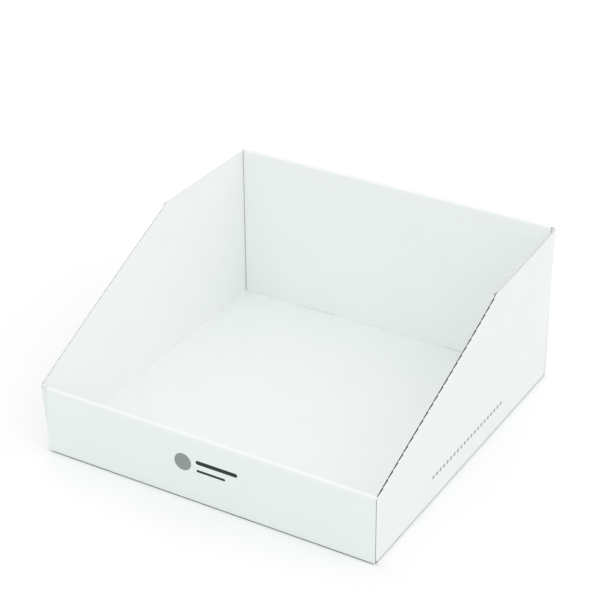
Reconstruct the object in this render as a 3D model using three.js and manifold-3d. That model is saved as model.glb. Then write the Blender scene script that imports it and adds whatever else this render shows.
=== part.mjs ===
// Counter display box: a tray die-cut from one sheet of fine-flute white board and folded up round its base.
// The front and back walls roll over the side walls' corner flaps and lock into slots in the base.
// The lid is torn away along the slanted perforations of the side walls.
// Millimetres, +Z up, +X to the right seen from the front, +Y to the back, origin under the base's middle.

import * as THREE from 'three';
import { mergeVertices } from 'three/addons/utils/BufferGeometryUtils.js';
import Module from 'manifold-3d';

const wasm = await Module();
wasm.setup();

// Overall sizes, outer face to outer face
const WIDTH = 350;
const DEPTH = 355;
const BACK_HEIGHT = 168;
const FRONT_HEIGHT = 70;

// The board, the inside radius of a crease and the play between two plies
const BOARD = 1.4;
const CREASE_RADIUS = 0.4;
const PLY_GAP = 0.3;

// Side walls: the level top edge measured from the back face, and the short step where the tear meets it
const TOP_EDGE = 145;
const KINK_STEP = 2.6;
const KINK_RUN = 0.7;

// Perforation of the slanted edge: knife cuts between short nicks, each nick torn off to a low, thin stub
const PERF_CUT = 7.4;
const PERF_NICK = 2;
const STUB_HEIGHT = 0.5;
const STUB_TAPER = 0.4;
const STUB_INSET = 0.2;

// Corner flaps of the side walls, and the knife cut that frees them from the front and back walls
const FLAP_LENGTH = 60;
const FLAP_TAPER = 4;
const DIE_CUT = 0.4;

// Locking tabs at the foot of each inner ply, and their slots in the base
const TAB_LENGTH = 45;
const TAB_CHAMFER = 1;
const TAB_RECESS = 0.2;
const TAB_SPACING = 175;
const SLOT_END_PLAY = 0.5;

// Play between the inner plies' ends and the side walls
const INNER_PLAY = 0.8;

// How far the free edges of the side walls stand out of square
const LEFT_FRONT_LEAN = 6.5;
const LEFT_KINK_LEAN = 5.4;
const RIGHT_KINK_LEAN = 6.6;
const RIGHT_BACK_LEAN = 4.2;

// Fineness of the mesh
const CREASE_STEPS = 4;
const PANEL_STEP = 30;
const SNAP = 0.05;
const MERGE = 0.001;

// Sizes that follow
const OUTER_RADIUS = CREASE_RADIUS + BOARD;
const CREASE = (CREASE_RADIUS + BOARD / 2) * Math.PI / 2;
const ROLL = 3 * BOARD + 2 * PLY_GAP;
const BAND = ROLL - 2 * OUTER_RADIUS;
const HALF_WIDTH = WIDTH / 2;
const INNER_HALF_WIDTH = HALF_WIDTH - BOARD - INNER_PLAY;
const BASE_U = HALF_WIDTH - OUTER_RADIUS;
const BASE_V = DEPTH / 2 - OUTER_RADIUS;
const WALL_V = BASE_V - BOARD - PLY_GAP;
const SIDE_HEIGHT = BACK_HEIGHT - BOARD - PLY_GAP;
const FOOT_HEIGHT = BOARD + PLY_GAP;
const KINK_Y = DEPTH / 2 - TOP_EDGE;

// The flat blank. A point is [u, v]: u to the right and v to the back. Walls lie beyond the base as they
// come off the sheet, so their heights are distances on it.
const flatHeight = (z) => BASE_U + CREASE + z - OUTER_RADIUS;
const plyEnd = (height) => BASE_V + CREASE + height - 2 * OUTER_RADIUS;
const bandEnd = (height) => plyEnd(height) + CREASE + BAND;
const footEnd = (height) => bandEnd(height) + CREASE + height - OUTER_RADIUS - FOOT_HEIGHT;

const U = 0;
const V = 1;

// The blank is laid out in convex pieces, each with the lines that cut it into cells before it is folded
const creaseLines = (start) => {
  const steps = Array.from({ length: CREASE_STEPS + 1 }, (_, i) => i / CREASE_STEPS);
  return steps.map((share) => start + CREASE * share);
};

function mirrored({ outline, lines }, axis) {
  const flip = (point) => point.map((c, k) => (k === axis ? -c : c));
  return {
    outline: outline.map(flip),
    lines: lines.map((values, k) => (k === axis ? values.map((value) => -value) : values)),
  };
}

// The base, with its corners cut back a little so that the side walls part from the rolled walls
function basePiece() {
  const corner = [[BASE_U, WALL_V], [BASE_U - PLY_GAP, BASE_V]];
  const back = [...corner, ...corner.map(([u, v]) => [-u, v]).reverse()];
  const front = back.map(([u, v]) => [u, -v]).reverse();
  return { outline: [...back, ...front], lines: [[], []] };
}

// A rolled wall off the back of the base: outer ply and top band, narrower inner ply, and locking tabs
function rolledPieces(height) {
  const foot = footEnd(height);
  const tip = foot + FOOT_HEIGHT - TAB_RECESS;
  const tabStart = (TAB_SPACING - TAB_LENGTH) / 2;
  const tabEnd = tabStart + TAB_LENGTH;
  const starts = [BASE_V, plyEnd(height), bandEnd(height)];
  const lines = [[], starts.flatMap(creaseLines)];
  const outerRight = [[BASE_U - PLY_GAP, BASE_V], [HALF_WIDTH, BASE_V + PLY_GAP], [HALF_WIDTH, bandEnd(height)]];
  const innerRight = [[INNER_HALF_WIDTH, bandEnd(height)], [INNER_HALF_WIDTH, foot]];
  const bothSides = (right) => [...right, ...right.map(([u, v]) => [-u, v]).reverse()];
  const tab = {
    outline: [[tabStart, foot], [tabEnd, foot], [tabEnd - TAB_CHAMFER, tip], [tabStart + TAB_CHAMFER, tip]],
    lines,
  };
  return [
    { outline: bothSides(outerRight), lines },
    { outline: bothSides(innerRight), lines },
    tab,
    mirrored(tab, U),
  ];
}

const tearStart = new THREE.Vector2(flatHeight(FRONT_HEIGHT), -WALL_V);
const tearEnd = new THREE.Vector2(flatHeight(SIDE_HEIGHT - KINK_STEP), KINK_Y);

// The right side wall, in two pieces that meet at the kink
function wallPieces(lines) {
  const kinkFoot = [BASE_U, KINK_Y];
  return [
    { outline: [[BASE_U, -WALL_V], tearStart.toArray(), tearEnd.toArray(), kinkFoot], lines },
    {
      outline: [
        kinkFoot,
        tearEnd.toArray(),
        [flatHeight(SIDE_HEIGHT), KINK_Y + KINK_RUN],
        [flatHeight(SIDE_HEIGHT), WALL_V],
        [BASE_U, WALL_V],
      ],
      lines,
    },
  ];
}

// A corner flap off the back of the right side wall, tapered to slide into the rolled wall
function flapPiece(top, lines) {
  const foot = HALF_WIDTH + DIE_CUT;
  const foldEnd = WALL_V + CREASE;
  const outline = [
    [foot, WALL_V],
    [flatHeight(top), WALL_V],
    [flatHeight(top), foldEnd],
    [flatHeight(top - FLAP_TAPER), foldEnd + FLAP_LENGTH],
    [foot + FLAP_TAPER, foldEnd + FLAP_LENGTH],
    [foot, foldEnd],
  ];
  return { outline, lines };
}

function sidePieces() {
  const heights = [];
  for (let z = PANEL_STEP; z < SIDE_HEIGHT - PANEL_STEP / 2; z += PANEL_STEP) {
    heights.push(flatHeight(z));
  }
  const count = Math.ceil(2 * WALL_V / PANEL_STEP);
  const rows = Array.from({ length: count - 1 }, (_, i) => WALL_V * (2 * (i + 1) / count - 1));
  const flapLines = [heights, creaseLines(WALL_V)];
  return [
    ...wallPieces([[...creaseLines(BASE_U), ...heights], rows]),
    flapPiece(SIDE_HEIGHT, flapLines),
    mirrored(flapPiece(FRONT_HEIGHT - BOARD - PLY_GAP, flapLines), V),
  ];
}

// The part of a convex cell on one side of a line across it, or nothing if it is thinner than a snap
function clipCell(cell, axis, value, sign) {
  const offsets = cell.map((point) => {
    const distance = (point[axis] - value) * sign;
    return Math.abs(distance) < SNAP ? 0 : distance;
  });
  if (!offsets.some((distance) => distance > 0)) {
    return [];
  }
  return cell.flatMap((point, i) => {
    const next = (i + 1) % cell.length;
    const kept = offsets[i] >= 0 ? [point] : [];
    if (offsets[i] * offsets[next] >= 0) {
      return kept;
    }
    const share = offsets[i] / (offsets[i] - offsets[next]);
    const crossing = point.map((c, k) => c + (cell[next][k] - c) * share);
    crossing[axis] = value;
    return [...kept, crossing];
  });
}

function cellsOf({ outline, lines }) {
  let cells = [outline];
  lines.forEach((values, axis) => {
    for (const value of values) {
      cells = cells.flatMap((cell) => [clipCell(cell, axis, value, -1), clipCell(cell, axis, value, 1)]);
      cells = cells.filter((cell) => cell.length > 2);
    }
  });
  return cells;
}

// Cuts every piece of the blank into cells that share their corners, and the cells into triangles
function blankSheet() {
  const right = sidePieces();
  const pieces = [
    basePiece(),
    ...rolledPieces(BACK_HEIGHT),
    ...rolledPieces(FRONT_HEIGHT).map((piece) => mirrored(piece, V)),
    ...right,
    ...right.map((piece) => mirrored(piece, U)),
  ];
  const points = [];
  const pointAt = (point) => {
    const found = points.findIndex((p) => Math.hypot(p[U] - point[U], p[V] - point[V]) < MERGE);
    return found < 0 ? points.push(point) - 1 : found;
  };
  const cells = pieces.flatMap(cellsOf).map((cell) => cell.map(pointAt));
  const triangles = cells.flatMap((cell) => trianglesOf(withSharedPoints(cell, points), points));
  return { points, triangles };
}

// Adds to a cell's edges the corners of its neighbours that lie on them
function withSharedPoints(cell, points) {
  return cell.flatMap((from, i) => {
    const [start, end] = [points[from], points[cell[(i + 1) % cell.length]]];
    const [du, dv] = [end[U] - start[U], end[V] - start[V]];
    const length = Math.hypot(du, dv);
    const between = [];
    points.forEach(([u, v], index) => {
      const along = ((u - start[U]) * du + (v - start[V]) * dv) / length;
      const away = Math.abs((u - start[U]) * dv - (v - start[V]) * du) / length;
      if (away < MERGE && along > MERGE && along < length - MERGE) {
        between.push([along, index]);
      }
    });
    between.sort((a, b) => a[0] - b[0]);
    return [from, ...between.map(([, index]) => index)];
  });
}

function trianglesOf(cell, points) {
  const area = cell.reduce((sum, a, i) => {
    const b = cell[(i + 1) % cell.length];
    return sum + points[a][U] * points[b][V] - points[b][U] * points[a][V];
  }, 0);
  const loop = area > 0 ? cell : [...cell].reverse();
  if (loop.length === 3) {
    return [loop];
  }
  if (loop.length === 4) {
    const span = (a, b) => Math.hypot(points[a][U] - points[b][U], points[a][V] - points[b][V]);
    const [a, b, c, d] = loop;
    return span(a, c) < span(b, d) ? [[a, b, c], [a, c, d]] : [[a, b, d], [b, c, d]];
  }
  const centre = [U, V].map((k) => loop.reduce((sum, i) => sum + points[i][k], 0) / loop.length);
  const hub = points.push(centre) - 1;
  return loop.map((a, i) => [hub, a, loop[(i + 1) % loop.length]]);
}

// Follows the board through right-angle creases, each followed by a straight run. It gives the place, out
// from the first crease and up, of the point at a flat distance s and a depth w in the board.
function follow(runs, s, w) {
  let angle = 0;
  let left = s;
  const place = new THREE.Vector2(0, 0);
  const heading = () => new THREE.Vector2(Math.cos(angle), Math.sin(angle));
  const inward = () => new THREE.Vector2(-Math.sin(angle), Math.cos(angle));
  for (const run of runs) {
    const bent = Math.min(left, CREASE);
    place.addScaledVector(inward(), OUTER_RADIUS);
    angle += bent / CREASE * Math.PI / 2;
    place.addScaledVector(inward(), -OUTER_RADIUS);
    left -= bent;
    const straight = Math.min(left, run);
    place.addScaledVector(heading(), straight);
    left -= straight;
    if (left <= 0) {
      break;
    }
  }
  place.addScaledVector(inward(), w);
  return [place.x, place.y];
}

// Lean of a side wall at a depth y, as a slope: a curve through its values at the front, kink and back
function lean(y, front, kink, back) {
  const places = [-WALL_V, KINK_Y, WALL_V];
  const slopes = [front / FRONT_HEIGHT, kink / SIDE_HEIGHT, back / SIDE_HEIGHT];
  return slopes.reduce((sum, slope, i) => {
    const others = places.filter((_, k) => k !== i);
    return sum + slope * others.reduce((share, place) => share * (y - place) / (places[i] - place), 1);
  }, 0);
}

function foldRolledWall(u, v, w) {
  const end = Math.sign(v);
  const height = end < 0 ? FRONT_HEIGHT : BACK_HEIGHT;
  const runs = [height - 2 * OUTER_RADIUS, BAND, Infinity];
  const [out, up] = follow(runs, Math.abs(v) - BASE_V, w);
  return [u, end * (BASE_V + out), up];
}

function foldSideWall(u, v, w) {
  const side = Math.sign(u);
  let y = v;
  let depth = w;
  if (Math.abs(v) > WALL_V) {
    const [out, inward] = follow([Infinity], Math.abs(v) - WALL_V, w);
    y = Math.sign(v) * (WALL_V + out);
    depth = inward;
  }
  const [out, up] = follow([Infinity], Math.abs(u) - BASE_U, depth);
  const slope = side < 0
    ? lean(y, LEFT_FRONT_LEAN, LEFT_KINK_LEAN, 0)
    : lean(y, 0, RIGHT_KINK_LEAN, RIGHT_BACK_LEAN);
  const rise = Math.max(0, up - OUTER_RADIUS);
  return [side * (BASE_U + out + slope * rise), y, up];
}

// Where the point [u, v] of the blank, at a depth w in from its outer face, lies on the folded box
function fold([u, v, w]) {
  if (Math.abs(v) > BASE_V && Math.abs(u) <= HALF_WIDTH) {
    return foldRolledWall(u, v, w);
  }
  if (Math.abs(u) > BASE_U) {
    return foldSideWall(u, v, w);
  }
  return [u, v, w];
}

function solidFrom(positions, triangles) {
  return new wasm.Manifold(new wasm.Mesh({
    numProp: 3,
    vertProperties: new Float32Array(positions.flat()),
    triVerts: new Uint32Array(triangles.flat()),
  }));
}

// Gives the sheet its thickness, closes it along its cut edges and folds it
function foldedSheet() {
  const sheet = blankSheet();
  const count = sheet.points.length;
  const edges = new Set();
  for (const [a, b, c] of sheet.triangles) {
    edges.add(`${a},${b}`).add(`${b},${c}`).add(`${c},${a}`);
  }
  const triangles = [];
  for (const [a, b, c] of sheet.triangles) {
    triangles.push([a + count, b + count, c + count], [a, c, b]);
    for (const [from, to] of [[a, b], [b, c], [c, a]]) {
      if (!edges.has(`${to},${from}`)) {
        triangles.push([from, to, to + count], [from, to + count, from + count]);
      }
    }
  }
  const outer = sheet.points.map(([u, v]) => fold([u, v, 0]));
  const inner = sheet.points.map(([u, v]) => fold([u, v, BOARD]));
  return solidFrom([...outer, ...inner], triangles);
}

// One torn nick: a low trapezium on the slanted edge, sunk into it and a little thinner than the board
function stub(side, distance) {
  const along = tearEnd.clone().sub(tearStart).normalize();
  const out = new THREE.Vector2(along.y, -along.x);
  const profile = [
    [-PERF_NICK / 2, -STUB_HEIGHT],
    [-PERF_NICK / 2, 0],
    [STUB_TAPER - PERF_NICK / 2, STUB_HEIGHT],
    [PERF_NICK / 2 - STUB_TAPER, STUB_HEIGHT],
    [PERF_NICK / 2, 0],
    [PERF_NICK / 2, -STUB_HEIGHT],
  ];
  const shape = new THREE.Shape(profile.map(([x, y]) => new THREE.Vector2(x, y)));
  const prism = new THREE.ExtrudeGeometry(shape, { depth: BOARD - 2 * STUB_INSET, bevelEnabled: false });
  prism.deleteAttribute('normal');
  prism.deleteAttribute('uv');
  const merged = mergeVertices(prism, 1e-4);
  const position = merged.getAttribute('position');
  const points = [];
  for (let i = 0; i < position.count; i += 1) {
    const flat = tearStart.clone()
      .addScaledVector(along, distance + position.getX(i))
      .addScaledVector(out, position.getY(i));
    points.push(fold([side * flat.x, flat.y, STUB_INSET + position.getZ(i)]));
  }
  const triangles = [];
  for (let i = 0; i < merged.index.count; i += 3) {
    const [a, b, c] = [0, 1, 2].map((k) => merged.index.getX(i + k));
    triangles.push(side < 0 ? [a, b, c] : [a, c, b]);
  }
  return solidFrom(points, triangles);
}

function stubs() {
  const length = tearStart.distanceTo(tearEnd);
  const pitch = PERF_CUT + PERF_NICK;
  const count = Math.floor((length - PERF_NICK) / pitch);
  const first = (length - (count - 1) * pitch) / 2;
  const result = [];
  for (const side of [-1, 1]) {
    for (let i = 0; i < count; i += 1) {
      result.push(stub(side, first + i * pitch));
    }
  }
  return result;
}

function slot(side, end) {
  const box = new THREE.BoxGeometry(TAB_LENGTH + 2 * SLOT_END_PLAY, BOARD + 2 * PLY_GAP, 2 * BOARD);
  box.translate(side * TAB_SPACING / 2, end * (DEPTH / 2 - ROLL + BOARD / 2), BOARD / 2);
  box.deleteAttribute('normal');
  box.deleteAttribute('uv');
  const merged = mergeVertices(box, 1e-4);
  return new wasm.Manifold(new wasm.Mesh({
    numProp: 3,
    vertProperties: new Float32Array(merged.getAttribute('position').array),
    triVerts: new Uint32Array(merged.index.array),
  }));
}

function foldedTray() {
  let tray = foldedSheet();
  for (const side of [-1, 1]) {
    for (const end of [-1, 1]) {
      tray = tray.subtract(slot(side, end));
    }
  }
  for (const nick of stubs()) {
    tray = tray.add(nick);
  }
  const mesh = tray.getMesh();
  const geometry = new THREE.BufferGeometry();
  geometry.setAttribute('position', new THREE.BufferAttribute(mesh.vertProperties, 3));
  geometry.setIndex(new THREE.BufferAttribute(mesh.triVerts, 1));
  geometry.computeVertexNormals();
  return geometry;
}

const whiteBoard = new THREE.MeshStandardMaterial({ color: 0xf0f4f3, roughness: 0.55, metalness: 0 });
const tray = new THREE.Mesh(foldedTray(), whiteBoard);
tray.name = 'display_tray';

const displayBox = new THREE.Group();
displayBox.add(tray);

export default displayBox;
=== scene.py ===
# Counter display box: a tray folded from one sheet of white fine-flute board, its lid torn away.
# The sheet is laid out flat in millimetres, given its thickness and folded, then scaled to metres.
# A point of the sheet is (u, v, w): u to the right, v to the back, w in from the outer face.

import math
import random

import bpy
from mathutils import Matrix, Vector


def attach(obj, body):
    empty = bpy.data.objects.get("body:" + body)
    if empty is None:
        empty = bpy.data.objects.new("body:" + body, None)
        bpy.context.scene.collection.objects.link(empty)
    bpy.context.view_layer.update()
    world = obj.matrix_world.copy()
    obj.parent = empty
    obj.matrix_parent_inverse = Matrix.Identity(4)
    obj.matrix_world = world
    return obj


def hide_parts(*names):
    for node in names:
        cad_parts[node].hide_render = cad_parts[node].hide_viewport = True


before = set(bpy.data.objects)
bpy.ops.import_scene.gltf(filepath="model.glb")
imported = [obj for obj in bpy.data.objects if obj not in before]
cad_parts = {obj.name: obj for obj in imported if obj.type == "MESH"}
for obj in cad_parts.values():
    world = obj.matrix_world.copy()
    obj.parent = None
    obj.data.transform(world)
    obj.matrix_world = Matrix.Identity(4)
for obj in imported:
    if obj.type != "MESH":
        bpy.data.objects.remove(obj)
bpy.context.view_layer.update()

# Sizes of the box, as in the part but for the inner plies' nearer foot, side walls that lean up to 2 mm
# less, and the front wall's left end, which is drawn in at the top
WIDTH = 350
DEPTH = 355
BACK_HEIGHT = 168
FRONT_HEIGHT = 70
BOARD = 1.4
CREASE_RADIUS = 0.4
PLY_GAP = 0.3
TOP_EDGE = 145
KINK_STEP = 2.6
KINK_RUN = 0.7
PERF_CUT = 7.4
PERF_NICK = 2
FLAP_LENGTH = 60
FLAP_TAPER = 4
DIE_CUT = 0.4
TAB_LENGTH = 45
TAB_CHAMFER = 1
TAB_RECESS = 0.2
TAB_SPACING = 175
SLOT_END_PLAY = 0.5
INNER_PLAY = 0.8
FOOT_GAP = 0.1
LEFT_LEANS = (5.5, 3.6, 0)
RIGHT_LEANS = (0, 6.6, 2.4)
FRONT_DRAW = 2.6

OUTER_RADIUS = CREASE_RADIUS + BOARD
CREASE = (CREASE_RADIUS + BOARD / 2) * math.pi / 2
ROLL = 3 * BOARD + 2 * PLY_GAP
BAND = ROLL - 2 * OUTER_RADIUS
HALF_WIDTH = WIDTH / 2
INNER_HALF_WIDTH = HALF_WIDTH - BOARD - INNER_PLAY
BASE_U = HALF_WIDTH - OUTER_RADIUS
BASE_V = DEPTH / 2 - OUTER_RADIUS
WALL_V = BASE_V - BOARD - PLY_GAP
SIDE_HEIGHT = BACK_HEIGHT - BOARD - PLY_GAP
FOOT_HEIGHT = BOARD + FOOT_GAP
KINK_Y = DEPTH / 2 - TOP_EDGE
FLAP_FOOT = HALF_WIDTH + DIE_CUT
FLAP_DROP = BOARD + PLY_GAP

# Fineness of the mesh
PANEL_STEP = 6
CREASE_STEPS = 8
TEAR_STEP = 0.7
TEAR_DEPTH = 0.9
SNAP = 0.01
SHARP_ANGLE = 35

# The cut edge: a paper liner on each face and the fluted paper between them
LINER = 0.2
LINER_BEVEL = 0.08
LINER_BLUR = 0.06
MEDIUM_RECESS = 0.15
MEDIUM_EDGE = (0.1, 0.25)
FLUTE_PITCH = 3.3

# How much of the grey fluted paper a cut shows: along the flutes, across them, at the front wall's outer
# ends, and on the right wall's top edge. The front wall's outer ends are cut along the flutes, but are
# drawn open and dark as painted shade of the narrow gap between them and the side walls
CLOSED_CUT = 0.05
CROSS_CUT = 0.7
WALL_END_GAP_SHADE = 0.6
RIGHT_TOP = 0.11
ALONG_LIMIT = 0.5

# The torn edge: the outer liner is drawn down, most at the upper end of each knife cut, the board stands
# in ragged stubs at the nicks, and the left wall's tear is the more closed
TEAR_DRAW_LOW = 0.25
TEAR_DRAW_HIGH = 1.2
TEAR_ROUGHNESS = 0.05
TEAR_CRUSH = 0.12
TEAR_LIP = 0.3
NICK_RISE = 0.4
NICK_ROUGHNESS = 0.2
LEFT_CLOSING = 0.5
TEAR_SEED = 7

# Cross sections of the torn edge, from the outer face to the inner: each point has its depth in the board,
# then at a knife cut the share of the draw, or at a nick the rise above its stub, and its openness
CUT_SECTION = [
    (TEAR_CRUSH, 1, 1),
    (LINER, 0.9, 1),
    (BOARD / 2, 0.6, 1),
    (BOARD - TEAR_LIP, 0.3, 1),
    (BOARD - TEAR_LIP * 0.8, 0, 0),
]
NICK_OUTER = [
    (TEAR_CRUSH, -0.4, 0.1),
    (LINER + TEAR_CRUSH, -0.3, 0.25),
    (BOARD / 2, -0.2, 0.3),
]
NICK_INNER = [
    (BOARD - LINER - TEAR_CRUSH, -0.05, 0.2),
    (BOARD - TEAR_CRUSH / 2, 0, 0),
]


def flat_height(z):
    return BASE_U + CREASE + z - OUTER_RADIUS


def ply_end(height):
    return BASE_V + CREASE + height - 2 * OUTER_RADIUS


def band_end(height):
    return ply_end(height) + CREASE + BAND


def foot_end(height):
    return band_end(height) + CREASE + height - OUTER_RADIUS - FOOT_HEIGHT


def spread(start, end, step=PANEL_STEP):
    count = max(1, math.ceil(abs(end - start) / step))
    return [start + (end - start) * i / count for i in range(count + 1)]


def crease_lines(start):
    return [start + CREASE * i / CREASE_STEPS for i in range(CREASE_STEPS + 1)]


def lines_through(*groups):
    """The values of all the groups, in order and without doubles."""
    lines = []
    for value in sorted(value for group in groups for value in group):
        if not lines or value - lines[-1] > SNAP:
            lines.append(value)
    return lines


class Sheet:
    """The flat blank, as loops of shared points."""

    def __init__(self):
        self.points = []
        self.faces = []
        self.found = {}

    def point(self, u, v):
        key = (round(u, 3), round(v, 3))
        if key not in self.found:
            self.found[key] = len(self.points)
            self.points.append((u, v))
        return self.found[key]

    def face(self, corners):
        loop = []
        for corner in corners:
            index = self.point(*corner)
            if index not in loop:
                loop.append(index)
        if len(loop) < 3:
            return
        area = sum(
            self.points[a][0] * self.points[b][1] - self.points[b][0] * self.points[a][1]
            for a, b in zip(loop, loop[1:] + loop[:1])
        )
        self.faces.append(loop if area > 0 else loop[::-1])

    def patch(self, across, along, place, keep=lambda a, b: True):
        """Quads between the lines of two lists, each corner moved to its place."""
        for a0, a1 in zip(across, across[1:]):
            for b0, b1 in zip(along, along[1:]):
                if keep((a0 + a1) / 2, (b0 + b1) / 2):
                    self.face([place(a0, b0), place(a1, b0), place(a1, b1), place(a0, b1)])


TAB_START = (TAB_SPACING - TAB_LENGTH) / 2
TAB_END = TAB_START + TAB_LENGTH
SLOT_START = TAB_START - SLOT_END_PLAY
SLOT_END = TAB_END + SLOT_END_PLAY
SLOT_MIDDLE = DEPTH / 2 - ROLL + BOARD / 2
SLOT_HALF = BOARD / 2 + PLY_GAP

half_columns = lines_through(
    spread(0, SLOT_START),
    spread(TAB_START, TAB_END),
    spread(SLOT_END, INNER_HALF_WIDTH),
)
COLUMNS = lines_through([-u for u in half_columns], half_columns)
WALL_ROWS = lines_through(
    spread(-WALL_V, -(SLOT_MIDDLE - SLOT_HALF)),
    spread(-(SLOT_MIDDLE - SLOT_HALF), KINK_Y),
    spread(KINK_Y + KINK_RUN, SLOT_MIDDLE - SLOT_HALF),
    [WALL_V],
)


def lay_base(sheet):
    """The base with its four slots. Its corners are cut back a little, where the walls part."""
    edge = SLOT_MIDDLE + SLOT_HALF
    rows = lines_through(WALL_ROWS, [-BASE_V, -edge, edge, BASE_V])

    def place(u, v):
        if abs(u) <= INNER_HALF_WIDTH:
            return u, v
        cut = max(0, abs(v) - WALL_V) / (BASE_V - WALL_V) * PLY_GAP
        return math.copysign(BASE_U - cut, u), v

    def keep(u, v):
        in_slot = abs(abs(v) - SLOT_MIDDLE) < SLOT_HALF and SLOT_START < abs(u) < SLOT_END
        return not in_slot

    sheet.patch([-BASE_U, *COLUMNS, BASE_U], rows, place, keep)


def lay_rolled_wall(sheet, side, height):
    """Outer ply, top band, narrower inner ply and its locking tabs, off the front or back of the base."""
    ply, band, foot = ply_end(height), band_end(height), foot_end(height)
    outer_rows = lines_through(
        crease_lines(BASE_V), [BASE_V + PLY_GAP], spread(BASE_V + CREASE, ply), crease_lines(ply), [band]
    )
    inner_rows = lines_through(crease_lines(band), spread(band + CREASE, foot))

    def place_outer(u, v):
        if abs(u) <= INNER_HALF_WIDTH:
            return u, side * v
        half = HALF_WIDTH - max(0, BASE_V + PLY_GAP - v) / PLY_GAP * (HALF_WIDTH - BASE_U + PLY_GAP)
        return math.copysign(half, u), side * v

    sheet.patch([-HALF_WIDTH, *COLUMNS, HALF_WIDTH], outer_rows, place_outer)
    sheet.patch(COLUMNS, inner_rows, lambda u, v: (u, side * v))
    tip = foot + FOOT_HEIGHT - TAB_RECESS

    def place_tab(u, v):
        share = (v - foot) / (tip - foot)
        reach = (abs(u) - (TAB_START + TAB_END) / 2) / (TAB_LENGTH / 2)
        return math.copysign(abs(u) - reach * share * TAB_CHAMFER, u), side * v

    columns = [u for u in COLUMNS if TAB_START - SNAP <= abs(u) <= TAB_END + SNAP]
    sheet.patch(columns, [foot, tip], place_tab, lambda u, v: TAB_START < abs(u) < TAB_END)


TEAR_FRONT = (flat_height(FRONT_HEIGHT), -WALL_V)
TEAR_BACK = (flat_height(SIDE_HEIGHT - KINK_STEP), KINK_Y)
TEAR_RUN = Vector(TEAR_BACK) - Vector(TEAR_FRONT)


def wall_top(v):
    """Flat height of a side wall's free edge at a depth v."""
    if v <= KINK_Y:
        return TEAR_FRONT[0] + (v + WALL_V) / TEAR_RUN.y * TEAR_RUN.x
    share = min(1, (v - KINK_Y) / KINK_RUN)
    return TEAR_BACK[0] + share * KINK_STEP


def lay_side_wall(sheet, side):
    """A side wall with its fine strip along the free edge, and its two corner flaps."""
    shares = spread(0, 1, PANEL_STEP / BACK_HEIGHT)
    fixed = [*crease_lines(BASE_U), FLAP_FOOT]

    def place(row, v):
        if row < len(fixed):
            return side * fixed[row], v
        share = shares[row - len(fixed) + 1]
        return side * (FLAP_FOOT + share * (wall_top(v) - FLAP_DROP - FLAP_FOOT)), v

    last = len(fixed) + len(shares) - 2
    sheet.patch(range(last + 1), WALL_ROWS, place)
    for v0, v1 in zip(WALL_ROWS, WALL_ROWS[1:]):
        fine = spread(v0, v1, TEAR_STEP) if v0 < KINK_Y + KINK_RUN - SNAP else [v0, v1]
        strip = [(side * (wall_top(v) - TEAR_DEPTH), v) for v in fine]
        sheet.face([place(last, v1), place(last, v0), *strip])
        sheet.patch([TEAR_DEPTH, 0], fine, lambda depth, v: (side * (wall_top(v) - depth), v))
    for end in (-1, 1):
        top = wall_top(end * WALL_V) - FLAP_DROP
        rows = [FLAP_FOOT + share * (top - FLAP_FOOT) for share in shares]
        if end > 0:
            rows += [wall_top(WALL_V) - TEAR_DEPTH, wall_top(WALL_V)]
        flap_foot = WALL_V + CREASE
        columns = lines_through(crease_lines(WALL_V), spread(flap_foot, flap_foot + FLAP_LENGTH))
        high = rows[-1]

        def place_flap(u, v):
            taper = max(0, v - flap_foot) / FLAP_LENGTH * FLAP_TAPER
            middle = (high + FLAP_FOOT) / 2
            half = (high - FLAP_FOOT) / 2
            return side * (middle + (u - middle) * (half - taper) / half), end * v

        sheet.patch(rows, columns, place_flap)


def follow(runs, s, w):
    """Out and up from the first crease, after a flat distance s through right-angle creases and runs."""
    angle = 0.0
    x = y = 0.0
    left = s
    for run in runs:
        bent = min(left, CREASE)
        x -= math.sin(angle) * OUTER_RADIUS
        y += math.cos(angle) * OUTER_RADIUS
        angle += bent / CREASE * math.pi / 2
        x += math.sin(angle) * OUTER_RADIUS
        y -= math.cos(angle) * OUTER_RADIUS
        left -= bent
        straight = min(left, run)
        x += math.cos(angle) * straight
        y += math.sin(angle) * straight
        left -= straight
        if left <= 0:
            break
    return x - math.sin(angle) * w, y + math.cos(angle) * w


def lean(y, leans):
    """Slope of a side wall at a depth y: a curve through its values at the front, kink and back."""
    places = (-WALL_V, KINK_Y, WALL_V)
    heights = (FRONT_HEIGHT, SIDE_HEIGHT, SIDE_HEIGHT)
    slope = 0
    for i, place in enumerate(places):
        share = leans[i] / heights[i]
        for k, other in enumerate(places):
            if k != i:
                share *= (y - other) / (place - other)
        slope += share
    return slope


def fold(u, v, w):
    """Where a point of the sheet lies on the folded box."""
    if abs(v) > BASE_V and abs(u) <= HALF_WIDTH:
        height = FRONT_HEIGHT if v < 0 else BACK_HEIGHT
        runs = (height - 2 * OUTER_RADIUS, BAND, math.inf)
        out, up = follow(runs, abs(v) - BASE_V, w)
        draw = FRONT_DRAW * up / FRONT_HEIGHT * (HALF_WIDTH - u) / WIDTH if v < 0 else 0
        return u + draw, math.copysign(BASE_V + out, v), up
    if abs(u) > BASE_U:
        y, depth = v, w
        if abs(v) > WALL_V:
            out, depth = follow((math.inf,), abs(v) - WALL_V, w)
            y = math.copysign(WALL_V + out, v)
        out, up = follow((math.inf,), abs(u) - BASE_U, depth)
        rise = max(0, up - OUTER_RADIUS)
        slope = lean(y, LEFT_LEANS if u < 0 else RIGHT_LEANS)
        return math.copysign(BASE_U + out + slope * rise, u), y, up
    return u, v, w


def tear_place(u, v):
    """Distance along the torn edge from its front end, or None off that edge."""
    if not -WALL_V <= v <= KINK_Y + KINK_RUN or abs(abs(u) - wall_top(v)) > SNAP:
        return None
    return (v + WALL_V) * TEAR_RUN.length / TEAR_RUN.y


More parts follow.
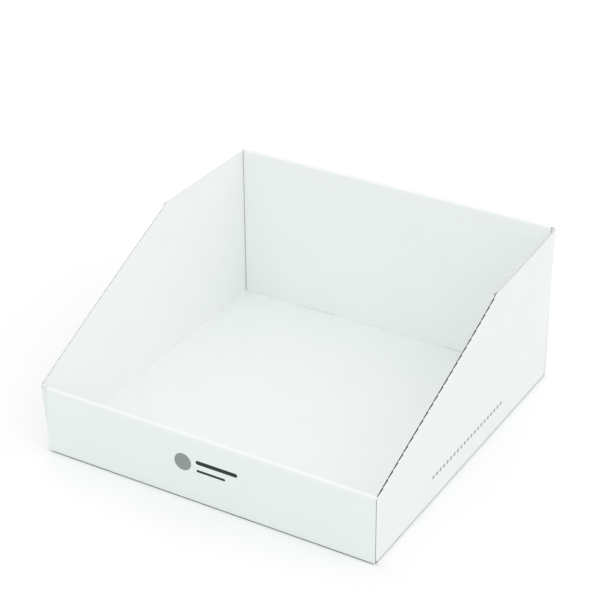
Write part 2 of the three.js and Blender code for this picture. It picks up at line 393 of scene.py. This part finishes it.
def tear_profile(distance, rng):
    """The torn edge's cross section at a distance along it, as (depth in the board, offset, openness)."""
    pitch = PERF_CUT + PERF_NICK
    count = math.floor((TEAR_RUN.length - PERF_NICK) / pitch)
    first = (TEAR_RUN.length - (count - 1) * pitch) / 2
    phase = (distance - first + PERF_NICK / 2) % pitch
    rough = rng.uniform(-1, 1)
    if phase < PERF_NICK:
        rise = NICK_RISE * math.sin(math.pi * phase / PERF_NICK) ** 0.5 + rough * NICK_ROUGHNESS
        inner = rise + rng.uniform(-1, 1) * NICK_ROUGHNESS
        outer_half = [(w, rise + offset, opened) for w, offset, opened in NICK_OUTER]
        return outer_half + [(w, inner + offset, opened) for w, offset, opened in NICK_INNER]
    share = (phase - PERF_NICK) / PERF_CUT
    draw = TEAR_DRAW_LOW + (TEAR_DRAW_HIGH - TEAR_DRAW_LOW) * share + rough * TEAR_ROUGHNESS
    return [(w, -draw * part, opened) for w, part, opened in CUT_SECTION]


def plain_profile(openness):
    """A plain cut edge's cross section."""
    inner = LINER + LINER_BEVEL
    return [
        (LINER, 0, openness),
        (inner, -MEDIUM_RECESS, openness),
        (BOARD / 2, -MEDIUM_RECESS, openness),
        (BOARD - inner, -MEDIUM_RECESS, openness),
        (BOARD - LINER, 0, openness),
    ]


def cut_openness(u, v, across):
    """How much of the fluted paper a plain cut shows, from its middle and how far it crosses the flutes."""
    if across < ALONG_LIMIT:
        if u > HALF_WIDTH and abs(v) < WALL_V:
            return RIGHT_TOP
        # painted shade: the front wall's outer ply ends are drawn open and dark for the shaded gap beside
        # the side walls
        if abs(u) <= HALF_WIDTH and -ply_end(FRONT_HEIGHT) < v < -BASE_V:
            return WALL_END_GAP_SHADE
    height = FRONT_HEIGHT if v < 0 else BACK_HEIGHT
    in_band = abs(u) <= HALF_WIDTH and ply_end(height) < abs(v) < band_end(height) + CREASE
    at_notch = abs(u) > HALF_WIDTH and abs(v) < WALL_V + SNAP
    if in_band or at_notch:
        return CLOSED_CUT
    return CLOSED_CUT + across * (CROSS_CUT - CLOSED_CUT)


def edge_normals(sheet, edges):
    """For each point on the blank's outline, the way out of the sheet and the openness of a plain cut."""
    found = {}
    for a, b in edges:
        (u0, v0), (u1, v1) = sheet.points[a], sheet.points[b]
        length = math.hypot(u1 - u0, v1 - v0)
        out = Vector(((v1 - v0) / length, (u0 - u1) / length))
        for index in (a, b):
            normal, openness = found.get(index, (Vector((0, 0)), 0))
            crossing = cut_openness((u0 + u1) / 2, (v0 + v1) / 2, abs(out.y))
            found[index] = (normal + out, max(openness, crossing))
    return {index: (normal.normalized(), openness) for index, (normal, openness) in found.items()}


FACE_OUTER, FACE_INNER, FACE_EDGE = range(3)


def folded_tray():
    """The folded sheet as a closed mesh, with each point's flat place and openness kept as attributes."""
    sheet = Sheet()
    lay_base(sheet)
    for side, height in ((-1, FRONT_HEIGHT), (1, BACK_HEIGHT)):
        lay_rolled_wall(sheet, side, height)
    for side in (-1, 1):
        lay_side_wall(sheet, side)
    used = {(a, b) for loop in sheet.faces for a, b in zip(loop, loop[1:] + loop[:1])}
    edges = sorted((a, b) for a, b in used if (b, a) not in used)
    count = len(sheet.points)
    flat = [(u, v, 0.0) for u, v in sheet.points] + [(u, v, BOARD) for u, v in sheet.points]
    openness = [0.0] * len(flat)
    rng = random.Random(TEAR_SEED)
    rings = {}
    for index, (normal, crossing) in sorted(edge_normals(sheet, edges).items()):
        u, v = sheet.points[index]
        distance = tear_place(u, v)
        if distance is None:
            profile = plain_profile(crossing)
        else:
            closing = LEFT_CLOSING if u < 0 else 0
            torn = tear_profile(distance, rng)
            profile = [(w, offset, max(0, opened - closing)) for w, offset, opened in torn]
            for layer, (_, offset, _) in ((0, profile[0]), (count, profile[-1])):
                w = TEAR_CRUSH if layer == 0 else BOARD - TEAR_CRUSH / 2
                flat[index + layer] = (u + normal.x * offset, v + normal.y * offset, w)
        ring = [index]
        for w, offset, opened in profile:
            flat.append((u + normal.x * offset, v + normal.y * offset, w))
            openness.append(opened)
            ring.append(len(flat) - 1)
        rings[index] = [*ring, index + count]
    faces = [loop[::-1] for loop in sheet.faces]
    kinds = [FACE_OUTER] * len(faces)
    faces += [[index + count for index in loop] for loop in sheet.faces]
    kinds += [FACE_INNER] * len(sheet.faces)
    for a, b in edges:
        for k in range(len(rings[a]) - 1):
            faces.append([rings[a][k], rings[b][k], rings[b][k + 1], rings[a][k + 1]])
            kinds.append(FACE_EDGE)
    mesh = bpy.data.meshes.new("folded_tray")
    mesh.from_pydata([Vector(fold(*point)) / 1000 for point in flat], [], faces)
    mesh.polygons.foreach_set("material_index", kinds)
    place = mesh.attributes.new("sheet", "FLOAT_VECTOR", "POINT")
    place.data.foreach_set("vector", [c for point in flat for c in point])
    opened = mesh.attributes.new("openness", "FLOAT", "POINT")
    opened.data.foreach_set("value", openness)
    mesh.validate()
    mesh.shade_smooth()
    mesh.set_sharp_from_angle(angle=math.radians(SHARP_ANGLE))
    tray = bpy.data.objects.new("folded_tray", mesh)
    bpy.context.scene.collection.objects.link(tray)
    return tray


class Nodes:
    """The node tree of a material or world, with short calls to add and link nodes."""

    def __init__(self, owner):
        owner.use_nodes = True
        self.tree = owner.node_tree
        self.tree.nodes.clear()

    def add(self, kind, **settings):
        node = self.tree.nodes.new(kind)
        for key, value in settings.items():
            setattr(node, key, value)
        return node

    def put(self, value, socket):
        if isinstance(value, bpy.types.NodeSocket):
            self.tree.links.new(value, socket)
        else:
            socket.default_value = value

    def math(self, operation, *values):
        node = self.add("ShaderNodeMath", operation=operation)
        for value, socket in zip(values, node.inputs):
            self.put(value, socket)
        return node.outputs[0]

    def mix(self, share, first, second):
        node = self.add("ShaderNodeMix", data_type="RGBA")
        self.put(share, node.inputs["Factor"])
        self.put(first, node.inputs["A"])
        self.put(second, node.inputs["B"])
        return node.outputs["Result"]

    def ramp(self, value, low, high):
        """0 below low, 1 above high, smooth between."""
        node = self.add("ShaderNodeMapRange", interpolation_type="SMOOTHSTEP")
        self.put(value, node.inputs["Value"])
        self.put(low, node.inputs["From Min"])
        self.put(high, node.inputs["From Max"])
        return node.outputs["Result"]

    def sheet(self):
        place = self.add("ShaderNodeAttribute", attribute_name="sheet")
        split = self.add("ShaderNodeSeparateXYZ")
        self.tree.links.new(place.outputs["Vector"], split.inputs[0])
        return place.outputs["Vector"], *split.outputs

    def noise(self, vector, scale, detail=2.0, roughness=0.5):
        node = self.add("ShaderNodeTexNoise")
        self.put(vector, node.inputs["Vector"])
        node.inputs["Scale"].default_value = scale
        node.inputs["Detail"].default_value = detail
        node.inputs["Roughness"].default_value = roughness
        return node.outputs["Fac"]

    def straight(self):
        """1 for rays that see a surface straight, in gloss or through glass, 0 for those that light it."""
        path = self.add("ShaderNodeLightPath").outputs
        seen = self.math("MAXIMUM", path["Is Camera Ray"], path["Is Glossy Ray"])
        return self.math("MAXIMUM", seen, path["Is Transmission Ray"])

    def switch(self, share, first, second, output):
        """The first shader where the share is 0, the second where it is 1, sent to an output node."""
        mixed = self.add("ShaderNodeMixShader")
        self.put(share, mixed.inputs[0])
        self.put(first, mixed.inputs[1])
        self.put(second, mixed.inputs[2])
        self.put(mixed.outputs[0], self.add(output).inputs["Surface"])

    def board(self, colour, roughness, height, distance):
        """A paper surface from its colour, roughness and bump height."""
        shader = self.add("ShaderNodeBsdfPrincipled")
        self.put(colour, shader.inputs["Base Color"])
        self.put(roughness, shader.inputs["Roughness"])
        shader.inputs["Specular IOR Level"].default_value = PAPER_SPECULAR
        bump = self.add("ShaderNodeBump")
        bump.inputs["Strength"].default_value = 1
        bump.inputs["Distance"].default_value = distance
        self.put(height, bump.inputs["Height"])
        self.tree.links.new(bump.outputs["Normal"], shader.inputs["Normal"])
        output = self.add("ShaderNodeOutputMaterial")
        self.tree.links.new(shader.outputs[0], output.inputs["Surface"])


WHITE = (0.93, 0.955, 0.95, 1)
MOTTLED = (0.918, 0.946, 0.94, 1)
INK = (0.012, 0.02, 0.022, 1)
GREY_INK = (0.3, 0.33, 0.325, 1)
LINER_EDGE = (0.8, 0.82, 0.81, 1)
TORN_PAPER = (0.55, 0.56, 0.555, 1)
MEDIUM = (0.11, 0.12, 0.117, 1)
# painted shade: the near-black that stands in for the shade inside the open flute cells of a cut edge
PAINTED_CELL_SHADE = (0.03, 0.034, 0.033, 1)

# The paper: gloss, roughness and what its fibres add to it, the fineness of its clouds, fibres and speckle
# per millimetre, how far flutes and fibres show in the bump, and its height on a face and a cut in metres
PAPER_SPECULAR = 0.35
PAPER_ROUGHNESS = 0.46
FIBRE_ROUGHNESS = 0.12
CUT_ROUGHNESS = 0.85
CLOUD_SCALE = 0.02
FIBRE_SCALE = 1.3
SPECKLE_SCALE = 1.7
FLUTE_SHOW = 0.35
FIBRE_SHOW = 0.5
FACE_BUMP = 0.00002
CUT_BUMP = 0.0001

# The printed marks: a grey disc beside two bars on the front, each with its centre from the mark's, half
# its length, its radius and its ink, and a row of small dots on the right wall
FRONT_MARK = (3, 40)
FRONT_SHAPES = [(-26, 0, 0, 9, GREY_INK), (10, 4.2, 20, 2.1, INK), (4, -4.8, 14, 1.3, INK)]
SIDE_MARK = (0, 27)
SIDE_MARK_HALF = 73.5
DOT_PITCH = 7
DOT_RADIUS = 2
PRINT_EDGE = 0.08


def capsule(nodes, x, y, half_length, radius):
    """1 inside a bar with round ends, 0 outside."""
    past = nodes.math("MAXIMUM", nodes.math("SUBTRACT", nodes.math("ABSOLUTE", x), half_length), 0)
    square = nodes.math("ADD", nodes.math("MULTIPLY", past, past), nodes.math("MULTIPLY", y, y))
    distance = nodes.math("SQRT", square)
    return nodes.math("SUBTRACT", 1, nodes.ramp(distance, radius - PRINT_EDGE, radius + PRINT_EDGE))


def face_material(name, printed):
    """Smooth white paper with faint mottling and flute lines, and on the outer face the printed marks."""
    material = bpy.data.materials.new(name)
    nodes = Nodes(material)
    place, u, v, _ = nodes.sheet()
    clouds = nodes.noise(place, CLOUD_SCALE, 3)
    fibres = nodes.noise(place, FIBRE_SCALE, 4, 0.7)
    colour = nodes.mix(nodes.ramp(clouds, 0.35, 0.75), WHITE, MOTTLED)
    if printed:
        front_base = BASE_V + CREASE - OUTER_RADIUS
        up = nodes.math("SUBTRACT", nodes.math("MULTIPLY", v, -1), front_base + FRONT_MARK[1])
        across = nodes.math("SUBTRACT", u, FRONT_MARK[0])
        for right, above, half_length, radius, ink in FRONT_SHAPES:
            x, y = nodes.math("SUBTRACT", across, right), nodes.math("SUBTRACT", up, above)
            colour = nodes.mix(capsule(nodes, x, y, half_length, radius), colour, ink)
        out = nodes.math("SUBTRACT", u, flat_height(SIDE_MARK[1]))
        along = nodes.math("SUBTRACT", v, SIDE_MARK[0])
        within = nodes.math("LESS_THAN", nodes.math("ABSOLUTE", along), SIDE_MARK_HALF)
        local = nodes.math("WRAP", along, DOT_PITCH / 2, -DOT_PITCH / 2)
        dots = nodes.math("MULTIPLY", within, capsule(nodes, local, out, 0, DOT_RADIUS))
        colour = nodes.mix(dots, colour, GREY_INK)
    flutes = nodes.math("SINE", nodes.math("MULTIPLY", u, 2 * math.pi / FLUTE_PITCH))
    raised = nodes.math("MULTIPLY", flutes, FLUTE_SHOW)
    height = nodes.math("ADD", raised, nodes.math("MULTIPLY", fibres, FIBRE_SHOW))
    roughness = nodes.math("ADD", nodes.math("MULTIPLY", fibres, FIBRE_ROUGHNESS), PAPER_ROUGHNESS)
    nodes.board(colour, roughness, height, FACE_BUMP)
    return material


def edge_material():
    """Cut edges: white liners, and between them the grey fluted paper, with the shade inside its open cells
    painted near-black.
    """
    material = bpy.data.materials.new("board_edge")
    nodes = Nodes(material)
    place, u, _, w = nodes.sheet()
    opened = nodes.add("ShaderNodeAttribute", attribute_name="openness").outputs["Fac"]
    from_middle = nodes.math("ABSOLUTE", nodes.math("SUBTRACT", w, BOARD / 2))
    half = BOARD / 2 - LINER
    core = nodes.math("SUBTRACT", 1, nodes.ramp(from_middle, half - LINER_BLUR, half + LINER_BLUR))
    wave = nodes.math("SINE", nodes.math("MULTIPLY", u, 2 * math.pi / FLUTE_PITCH))
    line = nodes.math("MULTIPLY", wave, half)
    off_line = nodes.math("ABSOLUTE", nodes.math("SUBTRACT", nodes.math("SUBTRACT", w, BOARD / 2), line))
    # painted shade: away from the fluted paper's wavy line, the open cells are coloured near-black for the
    # shade inside them
    cell_shade_mask = nodes.ramp(off_line, *MEDIUM_EDGE)
    speckle = nodes.noise(place, SPECKLE_SCALE, 4, 0.7)
    fibres = nodes.mix(nodes.ramp(speckle, 0.3, 0.7), MEDIUM, TORN_PAPER)
    medium_and_cell_shade = nodes.mix(cell_shade_mask, MEDIUM, PAINTED_CELL_SHADE)
    inside = nodes.mix(nodes.ramp(opened, 0.3, 0.85), fibres, medium_and_cell_shade)
    inside = nodes.mix(nodes.ramp(opened, 0.02, 0.25), LINER_EDGE, inside)
    colour = nodes.mix(core, LINER_EDGE, inside)
    nodes.board(colour, CUT_ROUGHNESS, speckle, CUT_BUMP)
    return material


tray = folded_tray()
tray.data.materials.append(face_material("white_outer_face", True))
tray.data.materials.append(face_material("white_inner_face", False))
tray.data.materials.append(edge_material())
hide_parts("display_tray")
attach(tray, "root")


# The floor as it lights the box, how much brighter it is seen so that it is white where no shadow falls,
# how far the bowed board stands off it, and its shade where the box all but touches it
FLOOR_COLOUR = (0.77, 0.83, 0.805, 1)
FLOOR_LIFT = 0.01
FLOOR_GAP = 0.0008
CONTACT_SHADE = (0.22, 0.25, 0.24, 1)
CONTACT_REACH = 0.004
CONTACT_RANGE = (0.2, 0.45)
FLOOR_HALF = 6


def make_floor():
    """A white floor that keeps the box's soft shadow."""
    mesh = bpy.data.meshes.new("floor")
    corners = [(-1, -1), (1, -1), (1, 1), (-1, 1)]
    points = [(x * FLOOR_HALF, y * FLOOR_HALF, -FLOOR_GAP) for x, y in corners]
    mesh.from_pydata(points, [], [(0, 1, 2, 3)])
    floor = bpy.data.objects.new("floor", mesh)
    bpy.context.scene.collection.objects.link(floor)
    material = bpy.data.materials.new("floor")
    nodes = Nodes(material)

    def diffuse(colour):
        shader = nodes.add("ShaderNodeBsdfDiffuse")
        nodes.put(colour, shader.inputs["Color"])
        return shader.outputs[0]

    contact = nodes.add("ShaderNodeAmbientOcclusion")
    contact.inputs["Distance"].default_value = CONTACT_REACH
    openness = nodes.ramp(contact.outputs["AO"], *CONTACT_RANGE)
    seen = nodes.add("ShaderNodeAddShader")
    nodes.put(diffuse(nodes.mix(openness, CONTACT_SHADE, (1, 1, 1, 1))), seen.inputs[0])
    nodes.put(diffuse((FLOOR_LIFT, FLOOR_LIFT, FLOOR_LIFT, 1)), seen.inputs[1])
    output = "ShaderNodeOutputMaterial"
    nodes.switch(nodes.straight(), diffuse(FLOOR_COLOUR), seen.outputs[0], output)
    mesh.materials.append(material)
    return floor


make_floor()

AMBIENT = (0.99, 1.0, 1.0, 1)
AMBIENT_STRENGTH = 0.864

# Broad soft lamps, each with the way it comes from, its angle in degrees, its strength and its colour
LAMPS = {
    "right": ((1, 0.1, 0.7), 60, 0.346, (1.0, 0.783, 0.87)),
    "front": ((0.5, -0.8, 0.9), 60, 0.282, (0.876, 1.0, 0.887)),
    "back": ((-0.6, 0.8, 0.9), 60, 0.224, (1.0, 0.772, 0.83)),
}


def make_world():
    """Soft light from all round, seen itself as plain white."""
    world = bpy.data.worlds.new("studio")
    bpy.context.scene.world = world
    nodes = Nodes(world)

    def background(colour, strength):
        shader = nodes.add("ShaderNodeBackground")
        shader.inputs["Color"].default_value = colour
        shader.inputs["Strength"].default_value = strength
        return shader.outputs[0]

    ambient = background(AMBIENT, AMBIENT_STRENGTH)
    nodes.switch(nodes.straight(), ambient, background((1, 1, 1, 1), 1), "ShaderNodeOutputWorld")


def make_lamps():
    for name, (source, angle, strength, colour) in LAMPS.items():
        sun = bpy.data.lights.new(name, "SUN")
        sun.energy = strength
        sun.angle = math.radians(angle)
        sun.color = colour
        lamp = bpy.data.objects.new(name, sun)
        lamp.rotation_euler = Vector(source).to_track_quat("Z", "Y").to_euler()
        bpy.context.scene.collection.objects.link(lamp)


CAMERA_PLACE = (0.80301, -1.35999, 1.03943)
CAMERA_FORWARD = (-0.44153, 0.74434, -0.50101)
CAMERA_RIGHT = (0.8619, 0.50705, -0.00626)
CAMERA_LENS = 116.526
CAMERA_SENSOR = 36
CAMERA_CLIP = (0.05, 50)


def make_camera():
    forward = Vector(CAMERA_FORWARD).normalized()
    right = Vector(CAMERA_RIGHT)
    right = (right - forward * right.dot(forward)).normalized()
    up = right.cross(forward)
    lens = bpy.data.cameras.new("camera")
    lens.lens = CAMERA_LENS
    lens.sensor_width = CAMERA_SENSOR
    lens.clip_start, lens.clip_end = CAMERA_CLIP
    camera = bpy.data.objects.new("camera", lens)
    turn = Matrix((right, up, -forward)).transposed().to_4x4()
    camera.matrix_world = Matrix.Translation(CAMERA_PLACE) @ turn
    bpy.context.scene.collection.objects.link(camera)
    bpy.context.scene.camera = camera


make_world()
make_lamps()
make_camera()
bpy.context.scene.view_settings.view_transform = "Standard"
